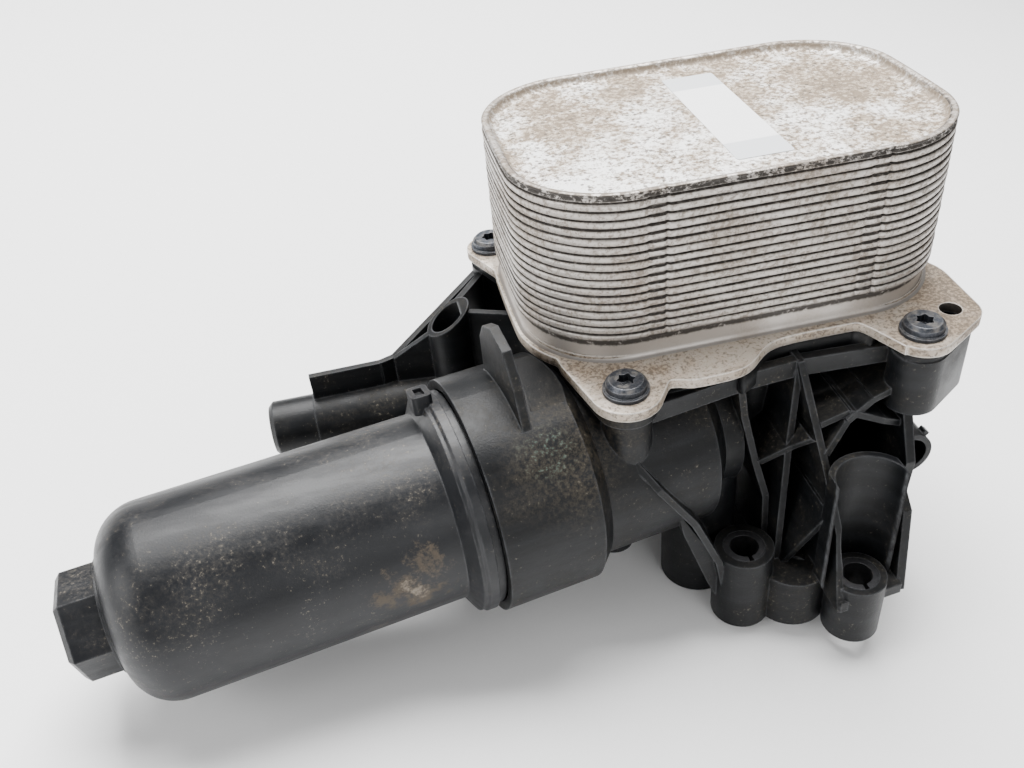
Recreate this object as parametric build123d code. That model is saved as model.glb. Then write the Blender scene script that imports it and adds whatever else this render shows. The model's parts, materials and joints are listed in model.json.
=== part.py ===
"""Oil filter housing with a stacked-plate oil cooler.

Millimetres. X runs along the long side of the cooler, Y across it, Z up from the engine face.
The origin lies on the engine face, straight below the centre of the cooler.
Places on the filter bowl are stations along its axis, counted from the joint of cap and collar:
the cap lies at negative stations, the collar and neck at positive ones.
"""
import os
from math import atan, cos, degrees, pi, radians, sin

from build123d import *

# Cooler
cooler_length = 130.0
cooler_depth = 85.8
cooler_corner = 27.9
cooler_side_bulge = 1.6
plate_count = 18
plate_pitch = 2.55
plate_flare = 0.7
notch_columns = (-27.7, 34.1)
notch_width = 1.6
notch_depth = 1.3
pan_rim = 1.5
pan_depth = 2.4
skirt_height = 7.1
skirt_inset = 1.2
base_thickness = 3.0
base_border = 1.2
base_corner_round = 3.0

# Cooler screws, as (x, y) of each axis, set off from the long sides of the cooler
screw_front_offset = 12.4
screw_places = {
    "front_left": (-43.5, -cooler_depth / 2 - screw_front_offset),
    "front_right": (44.6, -cooler_depth / 2 - screw_front_offset),
    "back_left": (-64.0, cooler_depth / 2 - 6.9),
    "back_right": (60.0, cooler_depth / 2 - 0.9),
}
screw_shank = 6.0
screw_head = 11.6
screw_head_height = 4.0
screw_head_chamfer = 1.0
screw_washer = 13.2
screw_washer_height = 1.2
screw_length = 18.0
screw_recess = 5.6
screw_recess_waist = 0.72
screw_recess_depth = 2.6
screw_hole_clearance = 0.3
screw_hole_spare = 1.0

# Lugs of the base plate with their roots as (x, y, radius), and the step in its front edge as (x, y)
screw_lugs = {"front_left": 10.2, "front_right": 9.2, "back_left": 8.2, "back_right": 8.2}
lug_roots = {
    "front_left": (-40.0, -36.0, 18.0),
    "front_right": (50.0, -34.0, 15.0),
    "back_left": (-48.0, 24.0, 18.0),
    "back_right": (46.0, 24.0, 18.0),
    "ear": (52.0, -30.0, 15.0),
}
base_front_step = ((-44.0, -38.0), (-36.0, -56.0), (-31.0, -54.5), (-12.5, -54.6), (3.0, -44.0), (3.0, -38.0))

# Pillars of the housing below the screws, as (radius, foot height)
screw_pillars = {
    "front_left": (7.2, 74.5),
    "front_right": (8.0, 72.0),
    "back_left": (7.2, 72.0),
    "back_right": (7.2, 72.0),
}
ear_place = (57.6, -48.0)
ear_hole = 6.4
ear_lug = 8.6

# Label strip on the cooler pan
label_length = 62.0
label_width = 16.5
label_thickness = 0.2
label_round = 1.0
label_centre_x = 4.0

# Deck of the housing and the rail along its front edge
deck_height = 94.0
deck_thickness = 4.0
deck_inset = 1.6
deck_trim = 10.0
rail_height = 5.0
rail_thickness = 3.2
rail_line = ((-40.0, -56.5), (-6.0, -50.0), (11.0, -48.5), (38.0, -50.0))
wall = 3.0
rib = 2.2
seat_overlap = 1.0

# Filter bowl
bowl_height = 60.0
bowl_yaw = 9.85
gap_x = -91.9
gap_y = -44.1
collar_radius = 36.2
collar_start = 1.2
collar_end = 34.6
collar_chamfer = 4.1
neck_radius = 30.7
neck_shoulder = 71.0
neck_tip_radius = 22.5
neck_tip_start = 77.5
neck_end = 84.0
thread_radius = 32.05
thread_end = 17.0
bowl_bore = 27.1
bowl_bore_end = 66.0
chamber_radius = 19.0
chamber_start = 73.0
chamber_end = 80.0
fin_station = 15.4
fin_thickness = 2.8
fin_outline = (
    (12.8, 31.0), (12.8, 45.9), (9.1, 51.6), (2.9, 54.5), (-6.4, 52.2), (-12.8, 43.0), (-17.4, 31.0),
)

# Cap
cap_radius = 28.6
cap_wall = 2.7
cap_length = 102.3
cap_round = 13.4
cap_spigot_length = 14.0
cap_thread_clearance = 0.35
cap_stop_radius = 33.2
cap_stop_front = -1.5
cap_stop_clearance = 0.3
cap_flange_radius = 34.4
cap_flange_back = -4.2
cap_flange_step = 0.8
cap_bead_radius = 33.7
cap_bead_back = -6.0
cap_flare_back = -8.8
hex_across = 27.0
hex_length = 12.1
hex_turn = 68.8
hex_chamfer = 1.5
hex_foot_ledge = 3.0
hex_foot_height = 0.8

# Tab on the flange of the cap, as (along, across, height), with its window as (along, across)
cap_tab_angle = 103.0
cap_tab = (6.0, 8.0, 5.6)
cap_tab_station = -6.0
cap_tab_top = 3.0
cap_tab_round = 1.4
cap_tab_window = (2.6, 5.0)

# Cap seal ring
seal_section = 2.9
seal_station = 4.4
seal_clearance = 0.1
seal_sides = 8

# Filter element
element_radius = 24.3
element_bore = 11.4
element_end_room = 6.9
element_front = element_end_room + cap_wall - cap_length
element_rear = 15.0
pleat_count = 32
pleat_depth = 9.6
pleat_edge = 0.6
disc_thickness = 3.0
core_wall = 1.6
core_slot = 4.0
core_slot_rows = 3
core_slot_columns = 4
core_slot_web = 6.0
element_clearance = 0.3

# Standpipe with its bypass valve
standpipe_radius = 8.6
standpipe_bore = 6.4
standpipe_end_room = 12.7
standpipe_front = element_front + standpipe_end_room
standpipe_rear = 84.0
standpipe_tip = 2.0
standpipe_flange = 22.0
standpipe_flange_thickness = 3.0
flange_holes = 6
flange_hole = 6.0
flange_hole_circle = 18.0
bypass_seat_bore = 4.2
bypass_plunger_radius = 5.8
bypass_plunger_thickness = 2.0
bypass_stem_radius = 1.8
bypass_stem_length = 16.0
spring_flat = 0.9
bypass_wire = 1.0
bypass_coil_radius = 4.2
bypass_turns = 4
bypass_spring_length = 12.0
bypass_retainer_thickness = 2.0

# Check valve in the oil inlet
check_disc_radius = 5.4
check_disc_thickness = 1.6
check_seat_height = 13.0
check_seat_thickness = 3.0
check_seat_ledge = 1.4
check_wire = 0.8
check_coil_radius = 3.8
check_turns = 3
check_stem_radius = 1.6
check_stem_length = 12.0
check_spring_length = 9.0
check_cage_thickness = 2.0
check_cage_holes = 3
check_cage_hole = 1.5
check_cage_circle = 4.4

# Engine bosses with their steel sleeves, as (x, y, height, boss radius)
boss_places = {
    "front": (-6.9, -60.3, 28.5, 9.5),
    "right": (24.5, -75.9, 22.5, 9.0),
    "back": (38.0, 53.0, 30.0, 9.5),
}
sleeve_radius = 6.5
sleeve_bore = 9.0
sleeve_slot = 1.3
tool_radius = 6.9
flange_thickness = 7.0
flange_nose = 9.0
flange_radius = 10.5
flange_step = 1.5

# Engine ports, as (x, y) with a seal ring each
port_places = {
    "oil_in": (-14.5, -39.3),
    "oil_out": (9.8, -61.5),
    "coolant_in": (34.0, 16.0),
}
port_radius = 12.0
port_bore = 7.0
port_seal_land = 0.6
port_seal_section = 1.9
port_seal_proud = 0.2
oil_in_top = 50.0
oil_in_bore_top = 46.0
oil_out_top = 19.0

# Cooler ports, as (x, y) with a seal ring each
cooler_port_places = {
    "oil_in": (6.0, -27.0),
    "oil_out": (34.0, -22.0),
    "coolant_in": (34.0, 16.0),
    "coolant_out": (-38.0, 12.0),
}
cooler_port_radius = 9.5
cooler_port_chamber = 3.0
riser_bore = 8.0
riser_radius = 11.0
gallery_radius = 9.8
channel_bore = 6.0
channel_radius = 8.5
channel_height = 11.5

# Hose stub on the left, parallel to X
hose_stub_radius = 9.5
hose_stub_bore = 6.8
hose_stub_y = 12.0
hose_stub_z = 55.3
hose_stub_end = -149.0
hose_stub_chamfer = 1.5
hose_stub_root = -133.5
hose_stub_root_radius = 10.1

# Socket on the right, parallel to Y
socket_x = 57.2
socket_z = 36.0
socket_radius = 8.4
socket_bore = 6.4
socket_mouth = -44.0
socket_depth = 18.0
socket_back = -16.0
socket_nub = (2.0, 3.0, 3.0)
socket_nub_angle = 42.0

# Drain boss below the neck
drain_place = (-43.0, -36.0)
drain_radius = 6.5
drain_foot = 18.0

# Rear bracket: an upright tube cut by a sloping plane, with ribs
post_x = -84.1
post_y = 12.0
post_radius = 7.4
post_bore = 5.7
slope_at_post = 87.5
slope_rise = 0.64
bracket_wall_top = 74.5
bracket_wall_line = ((-67.0, 38.0), (-104.0, 14.0), (-109.0, 12.5), (-133.0, 12.0))
bracket_back_rib = ((-80.0, 17.0), (-69.0, 32.0))
bracket_front_rib = ((-77.5, 9.5), (-62.0, 2.5))
bracket_end_rib = ((-91.0, 11.5), (-104.0, 13.0))
bracket_tie = ((-62.0, 2.5), (-36.0, -14.0))

# Walls behind the ribs, as (x, y)
spine_line = ((-14.0, -14.0), (49.0, -14.0))
spine_foot = 18.0
back_wall_y = 41.0
back_wall_line = ((-66.0, 38.0), (-24.0, back_wall_y), (44.0, back_wall_y))
back_wall_foot = 58.0
right_end_line = ((49.0, -14.0), (60.0, 42.0))
back_boss_rib_end = 20.0

# Web between the right wall and the socket, as (x, y) of its start and y of its back
socket_web_start = (42.0, -36.0)
socket_web_back = -12.0

# Front ribs, as (x, y, z) along each front edge
rib_main = ((10.4, -51.1, 91.0), (15.2, -65.2, 59.3), (17.4, -73.6, 39.9), (16.0, -83.1, 15.0))
rib_centre = ((10.8, -50.0, 91.0), (6.9, -56.0, 61.8), (4.9, -60.3, 18.0))
rib_left = (
    (-8.2, -51.0, 91.0), (-6.2, -52.0, 75.2), (-1.6, -52.5, 55.9), (2.6, -53.0, 41.0), (3.1, -54.0, 18.0),
)
rib_cross = ((-0.5, -53.0, 56.1), (7.6, -57.0, 63.7), (11.9, -61.0, 68.8))
rib_diagonal = ((15.6, -70.8, 46.3), (6.3, -62.0, 18.0))
rib_arc_low = ((14.5, -59.4, 72.4), (23.8, -58.6, 74.3), (34.4, -60.5, 70.0), (42.0, -59.2, 66.0))
rib_arc_high = ((15.6, -63.2, 63.8), (22.9, -59.7, 71.9), (31.5, -57.7, 76.4), (42.0, -57.0, 80.0))
right_wall = (
    (44.0, -56.0, 84.0), (42.0, -59.2, 73.0), (42.0, -66.3, 56.2), (41.5, -66.0, 44.0),
    (41.6, -70.4, 39.3), (38.0, -79.6, 14.6),
)
gusset = (
    (-43.9, -62.0, 76.4), (-37.7, -67.5, 67.9), (-26.8, -68.0, 51.6),
    (-17.1, -65.0, 28.7), (-14.0, -64.0, 14.0),
)
gusset_back = -46.0

# Web between the gusset and the front boss, as (x, z) at one y
gusset_web = (
    (-30.0, 52.0), (-28.0, 41.4), (-19.5, 17.0), (-14.5, 5.0), (-8.0, 5.0), (-8.0, 27.0), (-17.0, 27.0),
)
gusset_web_y = -56.0

# Floor of the right front pocket, as (x, y), and the half-round channel round the right boss
pocket_floor = ((16.0, -83.0), (37.6, -80.5), (42.0, -60.0), (16.0, -60.0))
pocket_floor_height = 18.5
pocket_floor_thickness = 4.0
pocket_channel = 11.0
pocket_channel_top = 62.0

cap_bore = cap_radius - cap_wall
under_deck = deck_height - deck_thickness
base_top = deck_height + base_thickness
stack_bottom = base_top + skirt_height
rim_height = stack_bottom + plate_count * plate_pitch
pan_height = rim_height - pan_depth
bypass_start = standpipe_front + standpipe_tip
bowl = Pos(gap_x, gap_y, bowl_height) * Rot(0, 0, bowl_yaw)
low = (Align.CENTER, Align.CENTER, Align.MIN)


def turned(*points):
    """Solid turned about the local X axis from (station, radius) points."""
    return revolve(make_face(Plane.XZ * Polyline(*points, close=True)), Axis.X)


def tube(radius, bore, start, end):
    """Tube along the local X axis between two stations."""
    return turned((start, bore), (end, bore), (end, radius), (start, radius))


def rod(radius, start, end):
    """Round bar along the local X axis between two stations."""
    return Pos(start, 0, 0) * Rot(0, 90, 0) * Cylinder(radius, end - start, align=low)


def bar(start, end, radius):
    """Round bar between two (x, y, z) points."""
    path = Line(start, end)
    return extrude(Plane(origin=start, z_dir=path % 0) * Circle(radius), path.length)


def post(x, y, radius, bottom, top):
    """Upright round bar."""
    return Pos(x, y, bottom) * Cylinder(radius, top - bottom, align=low)


def front_rib(edge, back, thickness=rib):
    """Rib drawn towards the front: its edge points are (x, y, z), its back lies at one y."""
    plates = []
    for start, end in zip(edge, edge[1:]):
        face = make_face(Polyline(start, end, (end[0], back, end[2]), (start[0], back, start[2]), close=True))
        plates.append(extrude(face, thickness / 2, both=True))
    return plates


def upright_rib(edge, foot, thickness=rib):
    """Rib drawn upwards: its edge points are (x, y, z), its foot lies at one height."""
    plates = []
    for start, end in zip(edge, edge[1:]):
        face = make_face(Polyline(start, end, (end[0], end[1], foot), (start[0], start[1], foot), close=True))
        plates.append(extrude(face, thickness / 2, both=True))
    return plates


def deck_rib(line, foot, thickness=rib):
    """Upright rib that hangs from the deck along (x, y) points."""
    return upright_rib([(x, y, under_deck + seat_overlap) for x, y in line], foot, thickness)


def fuse_all(shapes):
    """One body from touching or overlapping shapes."""
    return shapes[0].fuse(*shapes[1:])


def cooler_plan(grow):
    """Plan of the cooler: long sides straight, short sides bowed, corners round."""
    half_length = cooler_length / 2 - cooler_side_bulge + grow
    half_depth = cooler_depth / 2 + grow
    bow = half_length + cooler_side_bulge
    outline = Line((-half_length, half_depth), (half_length, half_depth))
    outline += ThreePointArc((half_length, half_depth), (bow, 0), (half_length, -half_depth))
    outline += Line((half_length, -half_depth), (-half_length, -half_depth))
    outline += ThreePointArc((-half_length, -half_depth), (-bow, 0), (-half_length, half_depth))
    face = make_face(outline)
    return fillet(face.vertices(), cooler_corner + grow)


def disc(place, radius):
    """Flat disc at an (x, y) place."""
    return Pos(*place, 0) * Circle(radius)


def lug(place, radius, root, root_radius):
    """Flat lug: the convex outline round a disc at its hole and a disc at its root."""
    both = disc(place, radius) + disc(root, root_radius)
    return make_hull(both.edges())


def base_plan(inset):
    """Plan of the cooler base plate and, drawn in by an inset, of the housing deck."""
    plan = cooler_plan(base_border) + make_face(Polyline(*base_front_step, close=True))
    lugs = [(name, screw_places[name], radius) for name, radius in screw_lugs.items()]
    for name, place, radius in lugs + [("ear", ear_place, ear_lug)]:
        x, y, root_radius = lug_roots[name]
        plan += lug(place, radius, (x, y), root_radius)
    plan += lug(screw_places["front_right"], screw_lugs["front_right"], ear_place, ear_lug)
    plan = offset(plan, base_corner_round, kind=Kind.ARC)
    return offset(plan, -base_corner_round - inset, kind=Kind.ARC)


def cooler_core():
    """Brazed cooler: base plate, skirt, stack of flared dishes and recessed pan."""
    base = Pos(0, 0, deck_height) * extrude(base_plan(0), base_thickness)
    skirt = Pos(0, 0, base_top) * extrude(cooler_plan(-skirt_inset), skirt_height)
    dish = loft([cooler_plan(0), Pos(0, 0, plate_pitch) * cooler_plan(plate_flare)], ruled=True)
    dishes = [Pos(0, 0, stack_bottom + k * plate_pitch) * dish for k in range(plate_count)]
    core = fuse_all([skirt] + dishes + [base])
    cuts = []
    for x in notch_columns:
        slot = Box(notch_width, 2 * notch_depth, rim_height - stack_bottom - 2 * pan_depth, align=low)
        cuts.append(Pos(x, -cooler_depth / 2, stack_bottom) * slot)
    cuts.append(Pos(0, 0, pan_height) * extrude(cooler_plan(-pan_rim), pan_depth * 2))
    for place in screw_places.values():
        hole = screw_shank / 2 + screw_hole_clearance
        cuts.append(post(*place, hole, 0, base_top + screw_hole_spare))
    cuts.append(post(*ear_place, ear_hole / 2, 0, base_top + screw_hole_spare))
    for place in cooler_port_places.values():
        cuts.append(post(*place, riser_bore, 0, base_top + cooler_port_chamber))
    return core.cut(*cuts)


def label_strip():
    """Thin strip across the pan."""
    strip = extrude(RectangleRounded(label_width, label_length, label_round), label_thickness)
    return Pos(label_centre_x, 0, pan_height) * strip


def star(radius, waist, points):
    """Star with straight sides, for the driver recess."""
    corners = []
    for k in range(2 * points):
        reach = radius if k % 2 == 0 else radius * waist
        corners.append((reach * cos(pi * k / points), reach * sin(pi * k / points)))
    return make_face(Polyline(*corners, close=True))


def cooler_screw(place):
    """Pan-head screw with a washer face, its shank in the housing pillar."""
    x, y = place
    head_top = base_top + screw_head_height
    washer = post(x, y, screw_washer / 2, base_top, base_top + screw_washer_height)
    head = post(x, y, screw_head / 2, base_top + screw_washer_height, head_top)
    head = chamfer(head.edges().sort_by(Axis.Z)[-1], screw_head_chamfer)
    shank = post(x, y, screw_shank / 2, head_top - screw_head_height - screw_length, base_top)
    recess = extrude(star(screw_recess / 2, screw_recess_waist, 6), -screw_recess_depth)
    return fuse_all([washer, head, shank]).cut(Pos(x, y, head_top) * recess)


def sleeve(place):
    """Rolled steel sleeve with an open seam."""
    x, y, height, _ = place
    body = post(x, y, sleeve_radius, 0, height)
    bore = post(x, y, sleeve_bore / 2, 0, height)
    seam = Pos(x, y - sleeve_radius, 0) * Box(sleeve_slot, sleeve_radius, height, align=low)
    return body.cut(bore, seam)


def bowl_solids():
    """Collar, neck and fin of the filter bowl."""
    outer = turned(
        (collar_start, 0), (collar_start, collar_radius),
        (collar_end - collar_chamfer, collar_radius), (collar_end, collar_radius - collar_chamfer),
        (collar_end, neck_radius), (neck_shoulder, neck_radius), (neck_tip_start, neck_tip_radius),
        (neck_end, neck_tip_radius), (neck_end, 0),
    )
    fin = extrude(make_face(Plane.YZ * Polyline(*fin_outline, close=True)), fin_thickness)
    return [bowl * outer, bowl * Pos(fin_station, 0, 0) * fin]


def bowl_cut():
    """Mouth, thread bore, bowl bore, rear chamber and the seat of the standpipe."""
    mouth = cap_stop_radius + cap_stop_clearance
    lead = thread_radius - bowl_bore
    return bowl * turned(
        (collar_start, 0), (collar_start, mouth), (collar_start + mouth - thread_radius, thread_radius),
        (thread_end, thread_radius), (thread_end + lead, bowl_bore), (bowl_bore_end, bowl_bore),
        (chamber_start, chamber_radius), (chamber_end, chamber_radius), (chamber_end, standpipe_radius),
        (standpipe_rear, standpipe_radius), (standpipe_rear, 0),
    )


def engine_flange():
    """Flat plate on the engine face that joins the ports and the bosses."""
    oil_in, _, coolant = port_places.values()
    riser = cooler_port_places["oil_out"]
    x, y, _, radius = boss_places["back"]
    plan = lug(oil_in, flange_radius, riser, flange_radius)
    plan += lug(riser, flange_radius, coolant, port_radius)
    plan += lug(coolant, port_radius, (x, y), radius - flange_step)
    plan += lug((0, 0), flange_nose, coolant, port_radius)
    plan += lug((0, 0), flange_nose, oil_in, flange_radius)
    return extrude(plan, flange_thickness)


def front_ribs():
    """Ribs, gusset and pocket walls that stand in front of the spine."""
    spine_y = spine_line[0][1]
    ribs = front_rib(rib_left, spine_y)
    ribs += front_rib(rib_centre, spine_y)
    ribs += front_rib(rib_main, spine_y)
    ribs += front_rib(rib_cross, spine_y)
    ribs += front_rib(rib_diagonal, spine_y)
    ribs += front_rib(rib_arc_low, spine_y)
    ribs += front_rib(rib_arc_high, spine_y)
    ribs += front_rib(right_wall, spine_y, wall)
    ribs += front_rib(gusset, gusset_back)
    web = make_face(Plane.XZ * Polyline(*gusset_web, close=True))
    ribs.append(Pos(0, gusset_web_y, 0) * extrude(web, wall * 2))
    floor = extrude(make_face(Polyline(*pocket_floor, close=True)), -pocket_floor_thickness)
    ribs.append(Pos(0, 0, pocket_floor_height) * floor)
    x, y, _, _ = boss_places["right"]
    shell = Cylinder(pocket_channel + rib, pocket_channel_top - pocket_floor_height, align=low)
    shell -= Cylinder(pocket_channel, under_deck, align=low)
    shell &= Pos(0, pocket_channel, 0) * Box(2 * pocket_channel, 2 * pocket_channel, 2 * under_deck)
    ribs.append(Pos(x, y, pocket_floor_height) * shell)
    return ribs


def bracket_rib(line):
    """Upright rib of the bracket: its top follows the sloping plane between the low wall and the deck."""
    edge = []
    for x, y in line:
        slope = slope_at_post + slope_rise * (x - post_x)
        edge.append((x, y, min(max(slope, bracket_wall_top), under_deck)))
    return upright_rib(edge, hose_stub_z)


def rear_bracket():
    """Upright tube and ribs above the hose stub."""
    solids = [post(post_x, post_y, post_radius, hose_stub_z, slope_at_post + post_radius)]
    solids += bracket_rib(bracket_wall_line)
    solids += bracket_rib(bracket_back_rib)
    solids += bracket_rib(bracket_front_rib)
    solids += bracket_rib(bracket_end_rib)
    solids += deck_rib(bracket_tie, hose_stub_z + hose_stub_radius)
    tilt = degrees(atan(slope_rise))
    knife = Box(4 * post_radius, 3 * post_radius, 3 * post_radius, align=low)
    bore = post(post_x, post_y, post_bore, hose_stub_z + hose_stub_radius + wall, under_deck)
    cuts = [Pos(post_x, post_y, slope_at_post) * Rot(0, -tilt, 0) * knife, bore]
    return fuse_all(solids).cut(*cuts)


def housing():
    """Moulded housing: deck, filter bowl, ribs, ports, bosses and stubs, all one piece."""
    adds = [Pos(0, 0, under_deck) * extrude(base_plan(deck_inset), deck_thickness)]
    adds += bowl_solids()
    top = under_deck + seat_overlap
    for name, place in screw_places.items():
        radius, foot = screw_pillars[name]
        adds.append(post(*place, radius, foot, top))
    ear_pillar, ear_foot = screw_pillars["front_right"]
    ear_block = lug(screw_places["front_right"], ear_pillar, ear_place, ear_lug - deck_inset)
    adds.append(Pos(0, 0, ear_foot) * extrude(ear_block, top - ear_foot))
    adds += deck_rib(rail_line, under_deck - rail_height, rail_thickness)

    # Bosses, flange, ports and risers
    adds.append(engine_flange())
    for x, y, height, radius in boss_places.values():
        adds.append(post(x, y, radius, 0, height))
    oil_in, oil_out, _ = port_places.values()
    adds.append(post(*oil_in, port_radius, 0, oil_in_top))
    adds.append(post(*oil_out, port_radius, 0, oil_out_top))
    adds.append(post(*drain_place, drain_radius, drain_foot, bowl_height - bowl_bore))
    oil_riser = cooler_port_places["oil_in"]
    return_riser = cooler_port_places["oil_out"]
    coolant_riser = cooler_port_places["coolant_in"]
    stub_riser = cooler_port_places["coolant_out"]
    adds.append(post(*oil_riser, riser_radius, bowl_height - gallery_radius - wall, top))
    adds.append(post(*return_riser, riser_radius, 0, top))
    adds.append(post(*coolant_riser, riser_radius, 0, top))
    adds.append(post(*stub_riser, riser_radius, hose_stub_z - riser_radius, top))
    duct = ((*oil_out, channel_height), (*return_riser, channel_height))
    adds.append(bar(*duct, channel_radius))
    bowl_end = bowl * Pos(neck_end, 0, 0)
    gallery = (tuple(bowl_end.position), (*oil_riser, bowl_height))
    adds.append(bar(*gallery, gallery_radius))

    # Walls and ribs
    adds += deck_rib(spine_line, spine_foot)
    adds += deck_rib(back_wall_line, back_wall_foot)
    adds += deck_rib([stub_riser, (stub_riser[0], back_wall_y)], hose_stub_z)
    adds += deck_rib([coolant_riser, (coolant_riser[0], back_wall_y)], flange_thickness - seat_overlap)
    adds += deck_rib([coolant_riser, return_riser], flange_thickness - seat_overlap)
    adds += deck_rib(right_end_line, back_wall_foot)
    adds += deck_rib([stub_riser, spine_line[0]], back_wall_foot)
    x, y, height, radius = boss_places["back"]
    adds += upright_rib([(x, y - radius + seat_overlap, height), (x, back_wall_y, back_wall_foot)], 0, wall)
    adds += upright_rib([(x, back_wall_y + rib / 2, under_deck), (x, back_boss_rib_end, under_deck)], 0, wall)
    adds += front_ribs()
    adds.append(rear_bracket())

    # Hose stub and socket
    stub_line = Pos(0, hose_stub_y, hose_stub_z)
    stub = rod(hose_stub_radius, hose_stub_end, hose_stub_root)
    stub = chamfer(stub.edges().sort_by(Axis.X)[0], hose_stub_chamfer)
    adds.append(stub_line * stub)
    adds.append(stub_line * rod(hose_stub_root_radius, hose_stub_root, stub_riser[0]))
    socket = Pos(socket_x, socket_mouth, socket_z) * Rot(-90, 0, 0)
    adds.append(socket * Cylinder(socket_radius, socket_back - socket_mouth, align=low))
    x, y = socket_web_start
    adds += front_rib([(x, y, socket_z), (socket_x, y, socket_z)], socket_web_back, 2 * wall)
    nub_place = Pos(socket_x, socket_mouth + socket_nub[1], socket_z) * Rot(0, socket_nub_angle, 0)
    adds.append(nub_place * Pos(0, 0, socket_radius) * Box(*socket_nub))
    body = fuse_all(adds)

    above_deck = Box(cooler_length + deck_trim, 2 * cooler_depth, cooler_depth, align=low)
    cuts = [bowl_cut(), Pos(0, 0, deck_height) * above_deck]
    for place in screw_places.values():
        cuts.append(post(*place, screw_shank / 2, base_top - screw_length, deck_height))
    cuts.append(post(*ear_place, ear_hole / 2, 0, deck_height))
    for x, y, height, _ in boss_places.values():
        cuts.append(post(x, y, sleeve_radius, 0, height))
        cuts.append(post(x, y, tool_radius, height, deck_height))
    cuts.append(post(*oil_in, port_bore, 0, oil_in_bore_top))
    cuts.append(post(*oil_out, port_bore, 0, channel_height))
    cuts.append(bar(*duct, channel_bore))
    cuts.append(bar(*gallery, standpipe_bore))
    cuts.append(post(*oil_riser, riser_bore, bowl_height, deck_height))
    cuts.append(post(*return_riser, riser_bore, channel_height, deck_height))
    cuts.append(post(*coolant_riser, port_bore, 0, deck_height))
    cuts.append(post(*coolant_riser, riser_bore, flange_thickness, deck_height))
    cuts.append(post(*stub_riser, riser_bore, hose_stub_z, deck_height))
    for place in port_places.values():
        land = port_bore + port_seal_land
        depth = port_seal_section - port_seal_proud
        groove = Cylinder(land + port_seal_section, depth, align=low) - Cylinder(land, depth, align=low)
        cuts.append(Pos(*place, 0) * groove)
    for place in cooler_port_places.values():
        depth = port_seal_section
        groove = Cylinder(cooler_port_radius + port_seal_section, depth, align=low)
        groove -= Cylinder(cooler_port_radius, depth, align=low)
        cuts.append(Pos(*place, deck_height - depth) * groove)
    cuts.append(stub_line * rod(hose_stub_bore, hose_stub_end, stub_riser[0]))
    cuts.append(socket * Cylinder(socket_bore, socket_depth, align=low))
    return body.cut(*cuts)


def filter_cap():
    """Cap with threaded spigot, flange, round end and hexagon."""
    spigot = thread_radius - cap_thread_clearance
    stop = collar_start - cap_stop_clearance
    groove_radius = thread_radius - seal_clearance - seal_section
    groove_start = seal_station - seal_section / 2
    groove_end = seal_station + seal_section / 2
    outer = turned(
        (-cap_length, 0), (-cap_length, cap_radius), (cap_flare_back, cap_radius),
        (cap_bead_back, cap_bead_radius), (cap_flange_back - cap_flange_step, cap_bead_radius),
        (cap_flange_back, cap_flange_radius), (cap_stop_front, cap_flange_radius),
        (cap_stop_front, cap_stop_radius), (stop, cap_stop_radius), (stop, spigot),
        (groove_start, spigot), (groove_start, groove_radius), (groove_end, groove_radius),
        (groove_end, spigot), (cap_spigot_length, spigot), (cap_spigot_length, 0),
    )
    outer = fillet(outer.edges().filter_by(GeomType.CIRCLE).sort_by(Axis.X)[0], cap_round)
    plan = Rot(0, 0, -hex_turn) * RegularPolygon(hex_across / 2, 6, major_radius=False)
    hexagon = Pos(-cap_length, 0, 0) * extrude(Plane.YZ * plan, -hex_length)
    hexagon = chamfer(hexagon.faces().sort_by(Axis.X)[0].edges(), hex_chamfer)
    foot = rod(hex_across / 2 + hex_foot_ledge, -cap_length - hex_foot_height, -cap_length)
    inner_end = -cap_length + cap_wall
    bore = turned(
        (inner_end, 0), (inner_end, cap_bore - cap_round / 2), (inner_end + cap_round / 2, cap_bore),
        (cap_spigot_length, cap_bore), (cap_spigot_length, 0),
    )
    arm = Rot(90 - cap_tab_angle, 0, 0) * Pos(cap_tab_station, 0, cap_flange_radius + cap_tab_top)
    tab = Pos(0, 0, -cap_tab[2] / 2) * Box(*cap_tab)
    tab = fillet(tab.edges().filter_by(Axis.Z), cap_tab_round)
    window = Box(*cap_tab_window, cap_tab_top)
    body = fuse_all([outer, hexagon, foot, arm * tab]).cut(bore, arm * window)
    return bowl * body


def cap_seal_ring():
    """Rubber ring with a many-sided section in the groove of the cap spigot."""
    centre = thread_radius - seal_clearance - seal_section / 2
    section = Rot(0, 0, 180 / seal_sides) * RegularPolygon(seal_section / 2, seal_sides, major_radius=False)
    return bowl * revolve(Plane.XZ * Pos(seal_station, centre) * section, Axis.X)


def filter_media():
    """Pleated paper between the end discs."""
    outer = element_radius - pleat_edge
    inner = outer - pleat_depth
    points = []
    for k in range(pleat_count):
        fold = 2 * pi * k / pleat_count
        valley = fold + pi / pleat_count
        points.append((outer * cos(fold), outer * sin(fold)))
        points.append((inner * cos(valley), inner * sin(valley)))
    plan = make_face(Polyline(*points, close=True)) - Circle(element_bore + core_wall)
    start = element_front + disc_thickness
    body = extrude(plan, element_rear - disc_thickness - start)
    return bowl * Pos(start, 0, 0) * Rot(0, 90, 0) * body


def end_disc(start, radius, bore):
    """Ring that closes one end of the element."""
    return bowl * tube(radius, bore, start, start + disc_thickness)


def core_tube():
    """Perforated tube inside the pleats."""
    start = element_front + disc_thickness
    end = element_rear - disc_thickness
    body = tube(element_bore + core_wall, element_bore, start, end)
    row_pitch = (end - start) / core_slot_rows
    slots = []
    for row in range(core_slot_rows):
        for column in range(core_slot_columns):
            slot = Box(row_pitch - core_slot_web, core_slot, 4 * core_wall)
            place = Pos(start + (row + 0.5) * row_pitch, 0, element_bore + core_wall)
            slots.append(Rot(360 * column / core_slot_columns, 0, 0) * place * slot)
    return bowl * body.cut(*slots)


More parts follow.
